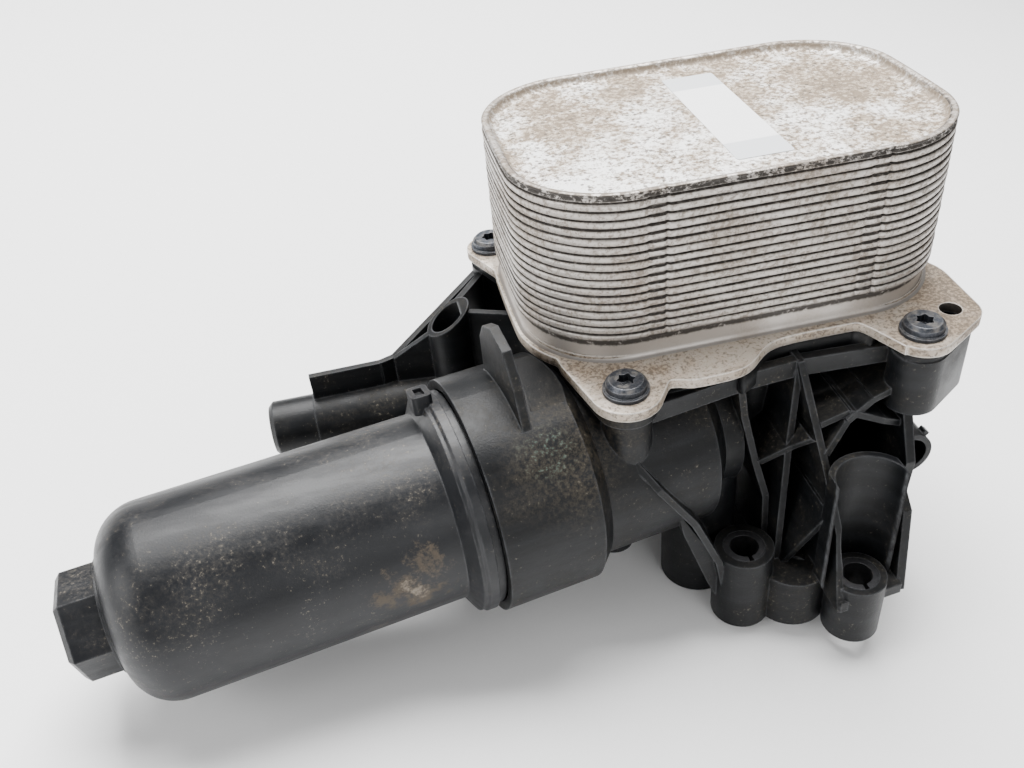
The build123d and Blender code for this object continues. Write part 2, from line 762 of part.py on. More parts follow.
def standpipe():
    """Pipe in the middle of the bowl, with a holed flange and the bypass valve seat at its tip."""
    flange_end = standpipe_flange + standpipe_flange_thickness
    body = turned(
        (standpipe_front, bypass_seat_bore), (standpipe_front, standpipe_radius),
        (standpipe_flange, standpipe_radius), (standpipe_flange, bowl_bore), (flange_end, bowl_bore),
        (flange_end, standpipe_radius), (standpipe_rear, standpipe_radius), (standpipe_rear, standpipe_bore),
        (bypass_start, standpipe_bore), (bypass_start, bypass_seat_bore),
    )
    hole = Pos(0, 0, flange_hole_circle) * rod(flange_hole / 2, standpipe_flange, flange_end)
    holes = [Rot(360 * k / flange_holes, 0, 0) * hole for k in range(flange_holes)]
    return bowl * body.cut(*holes)


def bypass_plunger():
    """Disc and stem that close the seat from inside the standpipe."""
    disc_end = bypass_start + bypass_plunger_thickness
    body = turned(
        (bypass_start, 0), (bypass_start, bypass_plunger_radius), (disc_end, bypass_plunger_radius),
        (disc_end, bypass_stem_radius), (bypass_start + bypass_stem_length, bypass_stem_radius),
        (bypass_start + bypass_stem_length, 0),
    )
    return bowl * body


def spring_body(wire, radius, turns, height):
    """Helix of square wire as a swept solid along Z, its side a little under the wire's width."""
    path = Pos(0, 0, wire / 2) * Helix((height - wire) / turns, height - wire, radius)
    side = wire * spring_flat
    section = Plane(origin=path @ 0, x_dir=(1, 0, 0), z_dir=path % 0) * Rectangle(side, side)
    return sweep(section, path=path, is_frenet=True)


def bypass_spring():
    """Spring between the bypass plunger and its stop in the standpipe."""
    body = spring_body(bypass_wire, bypass_coil_radius, bypass_turns, bypass_spring_length)
    return bowl * Pos(bypass_start + bypass_plunger_thickness, 0, 0) * Rot(0, 90, 0) * body


def bypass_retainer():
    """Ring with a guide hole that holds the spring in the standpipe."""
    start = bypass_start + bypass_plunger_thickness + bypass_spring_length
    guide = bypass_stem_radius + element_clearance
    return bowl * tube(standpipe_bore, guide, start, start + bypass_retainer_thickness)


def check_disc():
    """Valve disc and stem that rest on the seat in the oil inlet."""
    x, y = port_places["oil_in"]
    plate = post(x, y, check_disc_radius, check_seat_height, check_seat_height + check_disc_thickness)
    return plate.fuse(post(x, y, check_stem_radius, check_seat_height, check_seat_height + check_stem_length))


def check_spring():
    """Spring above the check disc."""
    x, y = port_places["oil_in"]
    body = spring_body(check_wire, check_coil_radius, check_turns, check_spring_length)
    return Pos(x, y, check_seat_height + check_disc_thickness) * body


def check_seat():
    """Ring pressed into the oil inlet, with the seat on its top."""
    x, y = port_places["oil_in"]
    body = post(x, y, port_bore, check_seat_height - check_seat_thickness, check_seat_height)
    return body.cut(post(x, y, check_disc_radius - check_seat_ledge, 0, check_seat_height))


def check_cage():
    """Guide ring with round openings that holds the check spring."""
    x, y = port_places["oil_in"]
    foot = check_seat_height + check_disc_thickness + check_spring_length
    body = post(x, y, port_bore, foot, foot + check_cage_thickness)
    cuts = [post(x, y, check_stem_radius + element_clearance, foot, foot + check_cage_thickness)]
    for k in range(check_cage_holes):
        angle = radians(360 * k / check_cage_holes)
        hole = (x + check_cage_circle * cos(angle), y + check_cage_circle * sin(angle))
        cuts.append(post(*hole, check_cage_hole, foot, foot + check_cage_thickness))
    return body.cut(*cuts)


def flat_seal(place, bore, foot):
    """Square-section seal ring round a port."""
    top = foot + port_seal_section
    return post(*place, bore + port_seal_section, foot, top).cut(post(*place, bore, foot, top))


def write(name, shape):
    """Save one node."""
    shape.label = name
    export_step(shape, os.path.join("parts", name + ".step"))


if __name__ == "__main__":
    os.makedirs("parts", exist_ok=True)
    write("housing", housing())
    write("cooler_core", cooler_core())
    write("label_strip", label_strip())
    for place_name, place in screw_places.items():
        write("cooler_screw_" + place_name, cooler_screw(place))
    for place_name, place in boss_places.items():
        write("mounting_sleeve_" + place_name, sleeve(place))
    for place_name, place in cooler_port_places.items():
        seal_foot = deck_height - port_seal_section
        write("cooler_seal_" + place_name, flat_seal(place, cooler_port_radius, seal_foot))
    for place_name, place in port_places.items():
        write("port_seal_" + place_name, flat_seal(place, port_bore + port_seal_land, -port_seal_proud))
    write("filter_cap", filter_cap())
    write("cap_seal_ring", cap_seal_ring())
    write("filter_media", filter_media())
    write("end_disc_front", end_disc(element_front, cap_bore - element_clearance, element_bore))
    rear_bore = standpipe_radius + element_clearance
    write("end_disc_rear", end_disc(element_rear - disc_thickness, element_radius, rear_bore))
    write("filter_core_tube", core_tube())
    write("standpipe", standpipe())
    write("bypass_plunger", bypass_plunger())
    write("bypass_spring", bypass_spring())
    write("bypass_retainer", bypass_retainer())
    write("check_seat", check_seat())
    write("check_disc", check_disc())
    write("check_spring", check_spring())
    write("check_cage", check_cage())
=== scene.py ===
"""Oil filter housing with a stacked-plate oil cooler: its finishes, its finer pieces and the studio.

Metres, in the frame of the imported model: X runs along the long side of the cooler, Y across it and
Z up from the engine face. The object lies on its cap and its bosses, so the floor is tilted.
"""

import json

import bmesh
import bpy
import numpy as np
from mathutils import Matrix, Vector


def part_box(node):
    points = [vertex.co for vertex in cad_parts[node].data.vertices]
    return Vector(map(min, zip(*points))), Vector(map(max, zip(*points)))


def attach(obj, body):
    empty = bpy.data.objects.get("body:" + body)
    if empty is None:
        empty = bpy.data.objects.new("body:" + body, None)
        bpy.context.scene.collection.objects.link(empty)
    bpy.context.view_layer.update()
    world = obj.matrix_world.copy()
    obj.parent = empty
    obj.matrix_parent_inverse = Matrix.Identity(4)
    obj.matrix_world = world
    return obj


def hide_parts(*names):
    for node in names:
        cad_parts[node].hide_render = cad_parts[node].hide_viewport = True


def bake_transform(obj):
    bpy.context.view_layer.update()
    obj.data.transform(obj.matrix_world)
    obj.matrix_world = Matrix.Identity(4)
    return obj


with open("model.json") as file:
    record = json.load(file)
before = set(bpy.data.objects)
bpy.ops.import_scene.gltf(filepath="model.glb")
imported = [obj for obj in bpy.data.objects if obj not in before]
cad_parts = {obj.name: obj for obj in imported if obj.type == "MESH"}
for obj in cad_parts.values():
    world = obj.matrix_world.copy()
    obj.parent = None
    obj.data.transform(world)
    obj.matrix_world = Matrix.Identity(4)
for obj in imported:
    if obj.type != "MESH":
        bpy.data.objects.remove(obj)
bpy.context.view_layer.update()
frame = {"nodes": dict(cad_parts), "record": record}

mm = 0.001

# Camera: where it stands, its right, down and forward directions, its lens and the width of its sensor
camera_place = (-0.1042, -0.2578, 0.2646)
camera_right = (0.97457341, -0.20727815, -0.08510246)
camera_down = (-0.19323446, -0.58520949, -0.78752162)
camera_forward = (0.11343326, 0.78394236, -0.61038289)
camera_lens = 34.21
camera_sensor = 36.0
camera_nearest = 0.01

# Studio: how bright its surroundings are, the point its lights face, and their places, widths and watts
room_brightness = 0.38
light_target = (0.0, 0.0, 0.05)
lights = {
    "top_light": ((0.05, 0.45, 1.3), 1.1, 78),
    "left_light": ((-1.2, -0.4, 0.8), 0.8, 14),
    "front_light": ((0.4, -1.4, 0.7), 0.8, 7),
}

# Places where the object touches the floor
cap_contact = (-0.180, -0.060, 0.0314)
front_contact = (0.0245, -0.0849, 0.0)
back_contact = (0.038, 0.0625, 0.0)
floor_radius = 4.0
floor_points = 64

# Cooler, with the same driving sizes as its solid
cooler_length = 130.0 * mm
cooler_depth = 85.8 * mm
cooler_corner = 27.9 * mm
cooler_side_bulge = 1.6 * mm
plate_count = 18
plate_pitch = 2.55 * mm
skirt_height = 7.1 * mm
skirt_inset = 1.2 * mm
base_thickness = 3.0 * mm
pan_depth = 2.4 * mm
rim_width = 1.5 * mm
rim_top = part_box("cooler_core")[1].z
stack_bottom = rim_top - plate_count * plate_pitch
base_top = stack_bottom - skirt_height
base_bottom = base_top - base_thickness
pan_height = rim_top - pan_depth

# How deep the skirt is sunk into the base plate
skirt_sink = 1 * mm

# Steps round the cooler's outline, and how near corners are merged
corner_points = 60
outline_step = 1.1 * mm
kink_step = 0.25 * mm
weld_distance = 0.005 * mm

# Angles: faces this nearly level are joined, and edges sharper than this are kept or bevelled
level_angle = np.radians(0.5)
sharp_angle = np.radians(40)

# Edge of one plate: parts of its pitch, how far out it stands at each, and how many the top plate has
plate_parts = (0.0, 0.06, 0.16, 0.3, 0.6, 0.84, 0.94)
plate_swell = (-0.6 * mm, -0.35 * mm, 0.24 * mm, 0.38 * mm, 0.46 * mm, 0.52 * mm, 0.1 * mm)
top_plate_parts = 4

# Unevenness of the plates: slow and quick waves outwards and slow ones upwards, with their count all round
plate_seed = 5
plate_sway = 0.06 * mm
sway_waves = 3
plate_ripple = 0.04 * mm
ripple_waves = 17
plate_drift = 0.07 * mm
drift_waves = 5

# Kinks of the plates in the front side: a small lift, with a dent at its right edge and a fainter one
# at its left, which fade out at a reach in from that side
kink_places = (-27.7 * mm, 34.1 * mm)
kink_spacing = 5.2 * mm
kink_lift = 0.3 * mm
kink_softness = 0.25 * mm
kink_reach = 3 * mm
kink_fade = 0.5 * mm
kink_depth = 0.75 * mm
dent_width = 0.6 * mm
faint_dent = 0.4
faint_dent_width = 0.5 * mm

# Wall of the pan, which starts below the rim, and the scales of the outline over its floor
pan_start_in = 0.3 * mm
pan_start_down = 0.5 * mm
pan_wall_run = 2.6 * mm
pan_wall_rows = 6
pan_floor_in = 0.4 * mm
pan_floor_scales = (1.0, 0.9, 0.6, 0.3, 0.0)

# Base plate: where its copy is cut, under the skirt, and the width of its soft edges
base_cut = base_top + 1.5 * mm
base_bevel = 0.5 * mm

# Front edge of the base plate: a lobe at the left, a straight middle and a lug at the right. Its corners
# are those that stand out past the cooler's side by more than the margin.
edge_start = -31.0 * mm
edge_end = 37.0 * mm
edge_step = 1.0 * mm
edge_margin = 0.6 * mm
edge_middle = -45.6 * mm
edge_lobe = 11.2 * mm
edge_lobe_end = -2.9 * mm
edge_lobe_sweep = 2.9 * mm
edge_root_rise = 2.2 * mm
edge_root_end = -27.0 * mm
edge_root_sweep = 1.2 * mm
edge_lug_start = 30.4 * mm
edge_lug_slope = 2.45
edge_lug_softness = 0.6 * mm

# Moulded lip of the deck below that edge
lip_span = (-9.0 * mm, 33.0 * mm)
lip_inset = 2.0 * mm
lip_height = 8.0 * mm
lip_thickness = 2.6 * mm
lip_rounding = 0.6 * mm
lip_steps = 60

# Direction of the filter bowl in plan
bowl_yaw = np.radians(9.85)

# Middles of the hole in the plate's ear, whose walls get painted shade, of a mud patch on the cap, and of
# dirt and a bloom on the collar
ear_hole = (0.0576, -0.0480, base_top)
cap_mud = (-0.1090, -0.0760, 0.0610)
collar_dirt = (-0.0618, -0.0659, 0.0846)
collar_bloom = (-0.0683, -0.0634, 0.0879)


class Signal:
    """A node's output that takes part in arithmetic with numbers and with other signals."""

    def __init__(self, finish, socket):
        self.finish = finish
        self.socket = socket

    def __add__(self, other):
        return self.finish.maths("ADD", self, other)

    def __sub__(self, other):
        return self.finish.maths("SUBTRACT", self, other)

    def __rsub__(self, other):
        return self.finish.maths("SUBTRACT", other, self)

    def __mul__(self, other):
        return self.finish.maths("MULTIPLY", self, other)

    def __truediv__(self, other):
        return self.finish.maths("DIVIDE", self, other)

    def __rtruediv__(self, other):
        return self.finish.maths("DIVIDE", other, self)

    __radd__ = __add__
    __rmul__ = __mul__


class Finish:
    """A procedural material, built up from signals over the object's own coordinates."""

    def __init__(self, name):
        self.material = bpy.data.materials.new(name)
        self.material.use_nodes = True
        self.nodes = self.material.node_tree.nodes
        self.links = self.material.node_tree.links
        self.nodes.clear()
        self.place = self.node("ShaderNodeTexCoord", output="Object")
        self.facing = self.node("ShaderNodeNewGeometry", output="Normal")

    def node(self, kind, settings=None, inputs=None, output=0):
        """Any node: its settings first, then the values or links of its sockets."""
        made = self.nodes.new(kind)
        for name, value in (settings or {}).items():
            setattr(made, name, value)
        for name, value in (inputs or {}).items():
            if isinstance(value, Signal):
                self.links.new(value.socket, made.inputs[name])
            elif value is not None:
                made.inputs[name].default_value = value
        return Signal(self, made.outputs[output])

    def maths(self, operation, *values):
        """Arithmetic on signals and numbers."""
        return self.node("ShaderNodeMath", {"operation": operation}, dict(enumerate(values)))

    def most(self, a, b):
        """The larger of two signals."""
        return self.maths("MAXIMUM", a, b)

    def ramp(self, value, low, high, start=0.0, end=1.0):
        """Smooth rise from start to end as the value goes from low to high."""
        inputs = {"Value": value, "From Min": low, "From Max": high, "To Min": start, "To Max": end}
        return self.node("ShaderNodeMapRange", {"interpolation_type": "SMOOTHSTEP"}, inputs)

    def axes(self, vector):
        """The three numbers of a vector."""
        parted = self.node("ShaderNodeSeparateXYZ", inputs={0: vector})
        return [Signal(self, number) for number in parted.socket.node.outputs]

    def stretched(self, scale, turn=(0.0, 0.0, 0.0)):
        """The object's coordinates turned and scaled along each axis."""
        inputs = {"Vector": self.place, "Rotation": turn, "Scale": scale}
        return self.node("ShaderNodeMapping", inputs=inputs)

    def noise(self, size, detail=4.0, roughness=0.55, place=None):
        """Cloudy pattern whose blotches are about one size across, from 0 to 1."""
        inputs = {"Vector": place or self.place, "Scale": 1.0 / size}
        inputs |= {"Detail": detail, "Roughness": roughness}
        return self.node("ShaderNodeTexNoise", inputs=inputs)

    def specks(self, size):
        """Distance from the nearest of scattered points, in parts of their spacing."""
        inputs = {"Vector": self.place, "Scale": 1.0 / size, "Randomness": 1.0}
        return self.node("ShaderNodeTexVoronoi", inputs=inputs, output="Distance")

    def near(self, point, reach):
        """1 at a point, fading to 0 at a reach from it."""
        settings = {"operation": "DISTANCE"}
        away = self.node("ShaderNodeVectorMath", settings, {0: self.place, 1: point}, output="Value")
        return 1.0 - self.ramp(away, 0.2 * reach, reach)

    def mix(self, factor, a, b):
        """Colour between a and b."""
        a, b = [value if isinstance(value, Signal) else (*value, 1.0) for value in (a, b)]
        return self.node("ShaderNodeMix", {"data_type": "RGBA"}, {0: factor, 6: a, 7: b}, output=2)

    def soft_edge(self, radius):
        """Normal of the surface with its edges rounded by a radius."""
        return self.node("ShaderNodeBevel", {"samples": 4}, {"Radius": radius})

    def edge_mask(self, radius):
        """Nearly 1 on an edge and 0 on an even face."""
        rounded = self.soft_edge(radius)
        settings = {"operation": "DOT_PRODUCT"}
        even = self.node("ShaderNodeVectorMath", settings, {0: rounded, 1: self.facing}, output="Value")
        return self.ramp(1.0 - even, 0.01, 0.12)

    def bump(self, height, depth, normal=None):
        """Relief of a depth in metres over a height signal, on a normal that may be given."""
        return self.node("ShaderNodeBump", inputs={"Height": height, "Distance": depth, "Normal": normal})

    def surface(self, **sockets):
        """The finished material: its shader, with the sockets given by name, joined to the output."""
        inputs = {name.replace("_", " "): value for name, value in sockets.items()}
        shader = self.node("ShaderNodeBsdfPrincipled", inputs=inputs)
        end = self.nodes.new("ShaderNodeOutputMaterial")
        self.links.new(shader.socket, end.inputs["Surface"])
        return self.material


def moulded_nylon():
    """Black glass-filled nylon of the housing: satin, dusty on top, grey along its edges from wear and a
    painted highlight.
    """
    f = Finish("moulded_nylon")
    up = f.ramp(f.axes(f.facing)[2], 0.2, 0.95)
    cloud = f.noise(20 * mm, 6.0, 0.65)
    grain = f.noise(0.6 * mm, 3.0, 0.6)
    crumbs = f.noise(1.3 * mm, 5.0, 0.8)
    streak = f.noise(1.0, 5.0, 0.6, f.stretched((40.0, 40.0, 320.0)))
    dust = f.ramp(cloud + 0.1 * up, 0.48, 0.75) * f.ramp(crumbs, 0.38, 0.62)
    dirt = f.near(collar_dirt, 26 * mm) * f.ramp(crumbs + 0.3 * (cloud - 0.5), 0.42, 0.58)
    bloom = f.near(collar_bloom, 11 * mm) * f.ramp(crumbs, 0.55, 0.62)
    # Edges: partly wear, partly a painted highlight where the edges catch the light
    wear = f.edge_mask(0.9 * mm) * f.ramp(f.noise(6 * mm, 5.0, 0.7), 0.3, 0.6)
    flecks = f.ramp(crumbs + 0.25 * (cloud - 0.5), 0.62, 0.68)
    colour = f.mix(f.ramp(streak, 0.35, 0.75), (0.0025, 0.0028, 0.0033), (0.007, 0.0077, 0.009))
    colour = f.mix(dust * 0.35, colour, (0.05, 0.043, 0.032))
    colour = f.mix(dirt * 0.32, colour, (0.08, 0.065, 0.045))
    colour = f.mix(bloom * 0.6, colour, (0.06, 0.11, 0.095))
    colour = f.mix(flecks * 0.6, colour, (0.14, 0.125, 0.1))
    # Lighter grey on the edges, wear together with a painted highlight
    colour = f.mix(wear * 0.65, colour, (0.085, 0.088, 0.094))
    rough = f.ramp(cloud, 0.3, 0.75, 0.36, 0.55) + 0.14 * dust
    relief = f.bump(grain + 0.5 * crumbs, 0.05 * mm, f.soft_edge(0.6 * mm))
    return f.surface(Base_Color=colour, Roughness=rough, Normal=relief, Specular_IOR_Level=0.22)


def cap_nylon():
    """Black nylon of the cap: smoother, faintly blue, with dust and a patch of dried mud near the joint."""
    f = Finish("cap_nylon")
    up = f.ramp(f.axes(f.facing)[2], 0.1, 0.9)
    cloud = f.noise(26 * mm, 6.0, 0.65)
    fine = f.noise(0.5 * mm, 3.0, 0.6)
    crumbs = f.noise(1.2 * mm, 5.0, 0.8)
    scuff = f.noise(1.0, 6.0, 0.65, f.stretched((60.0, 260.0, 260.0), (0.0, 0.0, -bowl_yaw)))
    dust = f.ramp(cloud + 0.14 * up, 0.5, 0.75) * f.ramp(crumbs, 0.4, 0.62)
    flecks = f.ramp(crumbs + 0.3 * (cloud - 0.5), 0.6, 0.67)
    ragged = f.noise(7 * mm, 9.0, 0.72)
    broken = ragged + 0.3 * (crumbs - 0.5)
    mud = f.ramp(broken + 0.3 * f.near(cap_mud, 22 * mm), 0.7, 0.84)
    pale = f.ramp(broken + 0.28 * f.near(cap_mud, 13 * mm), 0.76, 0.88)
    wear = f.edge_mask(0.8 * mm) * f.ramp(f.noise(5 * mm, 5.0, 0.7), 0.35, 0.65)
    colour = f.mix(f.ramp(cloud, 0.35, 0.7), (0.003, 0.0035, 0.0048), (0.007, 0.008, 0.0105))
    colour = f.mix(f.ramp(scuff, 0.5, 0.8) * 0.35, colour, (0.022, 0.023, 0.025))
    colour = f.mix(dust * 0.4, colour, (0.055, 0.048, 0.038))
    colour = f.mix(flecks * 0.6, colour, (0.15, 0.13, 0.1))
    colour = f.mix(mud * 0.65, colour, (0.09, 0.068, 0.045))
    colour = f.mix(pale * 0.6, colour, (0.28, 0.24, 0.19))
    colour = f.mix(wear * 0.55, colour, (0.085, 0.087, 0.092))
    rough = f.ramp(scuff, 0.35, 0.75, 0.36, 0.5) + 0.25 * f.most(mud, dust * 0.5)
    relief = f.bump(fine + 0.6 * mud + 0.3 * crumbs, 0.03 * mm, f.soft_edge(0.6 * mm))
    return f.surface(Base_Color=colour, Roughness=rough, Normal=relief, Specular_IOR_Level=0.32)


def cooler_aluminium():
    """Dull aluminium of the base plate: brown stains and specks, bright worn edges and painted shade inside
    the ear hole.
    """
    f = Finish("cooler_aluminium")
    x = f.axes(f.place)[0]
    cloud = f.noise(17 * mm, 6.0, 0.68)
    fine = f.noise(0.8 * mm, 5.0, 0.78)
    toward_lug = f.ramp(x, 20 * mm, 60 * mm) * 0.14
    stain = f.ramp(cloud + toward_lug + 0.2 * (fine - 0.5), 0.34, 0.72)
    specks = f.ramp(f.noise(1.1 * mm, 4.0, 0.75) + 0.12 * stain, 0.54, 0.66)
    wear = f.edge_mask(0.8 * mm)
    colour = f.mix(stain * 0.85, (0.46, 0.41, 0.35), (0.25, 0.18, 0.115))
    colour = f.mix(specks * 0.75, colour, (0.07, 0.05, 0.033))
    colour = f.mix(wear * 0.85, colour, (0.85, 0.82, 0.77))
    # Painted shade: the side walls round the middle of the ear hole are darkened almost to black
    sideways = f.ramp(1.0 - f.maths("ABSOLUTE", f.axes(f.facing)[2]), 0.4, 0.8)
    hole = sideways * f.ramp(f.near(ear_hole, 8.4 * mm), 0.05, 0.3)
    colour = f.mix(hole * 0.92, colour, (0.01, 0.008, 0.007))
    cover = f.most(f.most(stain * 0.7, specks) * (1.0 - wear), hole)
    relief = f.bump(fine, 0.05 * mm, f.soft_edge(0.5 * mm))
    return f.surface(
        Base_Color=colour, Metallic=0.5 - 0.48 * cover, Roughness=0.42 + 0.25 * cover, Normal=relief,
    )


def plate_metal():
    """Skirt and edges of the stacked plates: dull aluminium with grime in every joint and on the skirt."""
    f = Finish("plate_metal")
    y, z = f.axes(f.place)[1:]
    level = (z - stack_bottom) / plate_pitch
    joint = f.maths("ABSOLUTE", f.maths("FRACT", level + 0.5) - 0.5)
    stacked = f.ramp(z, stack_bottom - 0.2 * mm, stack_bottom + 0.4 * mm)
    cloud = f.noise(22 * mm, 5.0, 0.65)
    fine = f.noise(0.6 * mm, 4.0, 0.8)
    coarse = f.noise(2.6 * mm, 6.0, 0.75)
    front = 1.0 - f.ramp(y, -30 * mm, 10 * mm)
    stain = f.ramp(cloud + 0.4 * (fine - 0.5), 0.42, 0.7)
    grain = f.noise(1.3 * mm, 5.0, 0.8)
    specks = f.ramp(grain + 0.25 * (cloud - 0.5), 0.47, 0.6) * stacked
    below_rim = 1.0 - f.ramp(z, rim_top - 1.4 * mm, rim_top - 1.2 * mm)
    soot = (1.0 - f.ramp(joint, 0.06, 0.17)) * stacked * below_rim * f.ramp(grain, 0.3, 0.5, 0.7, 1.0)
    top_patch = f.ramp(coarse + 0.3 * (fine - 0.5), 0.38, 0.5)
    top_band = f.ramp(z, rim_top - 2.4 * mm, rim_top - 1.7 * mm)
    top_band = top_band * (1.0 - f.ramp(z, rim_top - 0.3 * mm, rim_top - 0.02 * mm) * 0.8)
    top = top_band * top_patch * (0.35 + 0.65 * front)
    ragged = 1.6 * mm * (coarse - 0.5) + 0.8 * mm * (fine - 0.5)
    above = f.ramp(z + ragged, stack_bottom - 2.5 * mm, stack_bottom - 1.7 * mm)
    below = 1.0 - f.ramp(z, stack_bottom + 0.3 * mm, stack_bottom + 1.5 * mm)
    line = above * below * f.ramp(coarse, 0.32, 0.44)
    foot = 1.0 - f.ramp(z, base_top + 0.1 * mm, base_top + 0.7 * mm)
    grime = f.most(f.most(soot, top * 0.95), f.most(line * 0.95, foot * 0.55))
    rust = f.ramp(z, rim_top - 1.0 * mm, rim_top - 0.2 * mm) * f.ramp(coarse, 0.4, 0.58)
    colour = f.mix(stain * 0.6, (0.5, 0.465, 0.43), (0.33, 0.27, 0.21))
    colour = f.mix(specks * 0.75, colour, (0.14, 0.108, 0.08))
    colour = f.mix(rust * 0.6, colour, (0.16, 0.12, 0.08))
    colour = f.mix(grime, colour, (0.016, 0.012, 0.009))
    hidden = f.most(grime, f.most(specks, stain * 0.6))
    return f.surface(
        Base_Color=colour, Metallic=0.6 - 0.58 * hidden, Roughness=0.4 + 0.3 * hidden,
        Normal=f.bump(fine, 0.04 * mm),
    )


def pan_metal():
    """Recessed top of the cooler: pale aluminium, densely speckled with brown, with painted shade on the
    wall of the recess.
    """
    f = Finish("pan_metal")
    x, y, z = f.axes(f.place)
    fine = f.noise(0.8 * mm, 5.0, 0.8)
    grain = f.noise(1.7 * mm, 5.0, 0.8)
    cloud = f.noise(17 * mm, 6.0, 0.7)
    toward_back = f.ramp(y + 0.35 * x, -0.06, 0.02)
    level = 0.5 + 1.5 * (cloud - 0.5) + 0.2 * toward_back
    stain = f.ramp(level + 0.6 * (grain - 0.5), 0.44, 0.76)
    blots = f.ramp(grain + 0.24 * (level - 0.55), 0.49, 0.58)
    pits = f.ramp(fine + 0.1 * (level - 0.6), 0.56, 0.64)
    dots = 1.0 - f.ramp(f.specks(2.4 * mm) + 0.35 * (fine - 0.5), 0.16, 0.27)
    dots = dots * f.ramp(f.noise(6 * mm), 0.24, 0.42)
    # Painted shade on the wall of the pan, patchy with the grain
    wall = f.ramp(z, pan_height + 0.08 * mm, pan_height + 0.5 * mm)
    colour = f.mix(stain * 0.85, (0.86, 0.85, 0.83), (0.36, 0.275, 0.18))
    colour = f.mix(blots * 0.8, colour, (0.12, 0.08, 0.045))
    colour = f.mix(pits * 0.75, colour, (0.08, 0.055, 0.035))
    colour = f.mix(dots * 0.85, colour, (0.05, 0.038, 0.028))
    colour = f.mix(wall * (0.35 + 0.5 * f.ramp(grain, 0.35, 0.55)), colour, (0.19, 0.15, 0.11))
    cover = f.most(blots, f.most(dots, stain * 0.6))
    return f.surface(
        Base_Color=colour, Metallic=0.4 - 0.38 * cover, Roughness=0.45 + 0.25 * cover,
        Normal=f.bump(fine, 0.05 * mm),
    )


def label():
    """Washed-out white label, greyer at its two ends."""
    f = Finish("label")
    y = f.axes(f.place)[1]
    ends = f.ramp(f.maths("ABSOLUTE", y), 20 * mm, 21 * mm)
    fine = f.noise(1.6 * mm, 5.0, 0.7)
    colour = f.mix(ends, (0.86, 0.86, 0.86), (0.6, 0.62, 0.64))
    colour = f.mix(f.ramp(fine, 0.6, 0.75) * 0.3, colour, (0.62, 0.58, 0.5))
    return f.surface(Base_Color=colour, Roughness=0.5 + 0.15 * fine, Normal=f.bump(fine, 0.02 * mm))


def screw_steel():
    """Dark zinc-coated screws, dusty on top."""
    f = Finish("screw_steel")
    fine = f.noise(1.0 * mm, 5.0, 0.7)
    dust = f.ramp(f.noise(3 * mm, 5.0, 0.7), 0.45, 0.7) * f.ramp(f.axes(f.facing)[2], 0.3, 0.9)
    wear = f.edge_mask(0.5 * mm)
    colour = f.mix(f.ramp(fine, 0.35, 0.7), (0.03, 0.034, 0.042), (0.075, 0.08, 0.093))
    colour = f.mix(dust * 0.5, colour, (0.2, 0.175, 0.14))
    colour = f.mix(wear * 0.5, colour, (0.28, 0.285, 0.3))
    return f.surface(
        Base_Color=colour, Metallic=0.8 - 0.6 * dust, Roughness=0.4 + 0.25 * dust,
        Normal=f.bump(fine, 0.02 * mm, f.soft_edge(0.4 * mm)),
    )


def sleeve_steel():
    """Plain steel of the bolt sleeves, darkened and lightly rusty."""
    f = Finish("sleeve_steel")
    fine = f.noise(1.2 * mm, 5.0, 0.7)
    rust = f.ramp(f.noise(4 * mm, 6.0, 0.7), 0.55, 0.75)
    colour = f.mix(fine, (0.03, 0.03, 0.033), (0.1, 0.1, 0.105))
    colour = f.mix(rust * 0.7, colour, (0.05, 0.032, 0.02))
    return f.surface(
        Base_Color=colour, Metallic=0.9 - 0.6 * rust, Roughness=0.38 + 0.3 * rust,
        Normal=f.bump(fine, 0.02 * mm, f.soft_edge(0.3 * mm)),
    )


def seal_rubber():
    """Matt black rubber with a little bloom."""
    f = Finish("seal_rubber")
    fine = f.noise(1.0 * mm, 4.0, 0.6)
    colour = f.mix(f.ramp(fine, 0.4, 0.8), (0.012, 0.012, 0.012), (0.04, 0.04, 0.042))
    return f.surface(Base_Color=colour, Roughness=0.55 + 0.2 * fine, Normal=f.bump(fine, 0.02 * mm))


def filter_paper():
    """Yellow filter paper, soaked brown with oil in places."""
    f = Finish("filter_paper")
    fibre = f.noise(1.0, 5.0, 0.7, f.stretched((500.0, 1800.0, 1800.0), (0.0, 0.0, -bowl_yaw)))
    oil = f.ramp(f.noise(25 * mm, 5.0), 0.4, 0.7)
    colour = f.mix(f.ramp(fibre, 0.3, 0.7), (0.62, 0.47, 0.2), (0.78, 0.65, 0.35))
    colour = f.mix(oil * 0.6, colour, (0.22, 0.13, 0.04))
    return f.surface(Base_Color=colour, Roughness=0.9 - 0.35 * oil, Normal=f.bump(fibre, 0.05 * mm))


def inner_plastic():
    """Dark moulded plastic of the parts inside, wet with oil."""
    f = Finish("inner_plastic")
    fine = f.noise(0.8 * mm, 4.0, 0.6)
    colour = f.mix(f.ramp(f.noise(12 * mm), 0.35, 0.7), (0.03, 0.028, 0.025), (0.06, 0.055, 0.048))
    return f.surface(
        Base_Color=colour, Roughness=f.ramp(fine, 0.3, 0.7, 0.22, 0.38),
        Normal=f.bump(fine, 0.02 * mm, f.soft_edge(0.3 * mm)),
    )


def spring_steel():
    """Bright drawn wire."""
    f = Finish("spring_steel")
    draw = f.noise(0.7 * mm, 4.0, 0.6)
    colour = f.mix(draw, (0.42, 0.42, 0.42), (0.62, 0.61, 0.6))
    return f.surface(
        Base_Color=colour, Metallic=0.95, Roughness=0.22 + 0.15 * draw, Normal=f.bump(draw, 0.01 * mm),
    )


def floor_white():
    """Plain pale studio floor."""
    f = Finish("floor_white")
    fine = f.noise(4 * mm, 3.0)
    return f.surface(Base_Color=f.mix(fine, (0.88, 0.88, 0.88), (0.9, 0.9, 0.9)), Roughness=0.75)


def rise(value, middle, width):
    """Smooth step from 0 to 1 round a middle, as a logistic curve of a width."""
    return 1.0 / (1.0 + np.exp(-np.clip((value - middle) / width, -30.0, 30.0)))


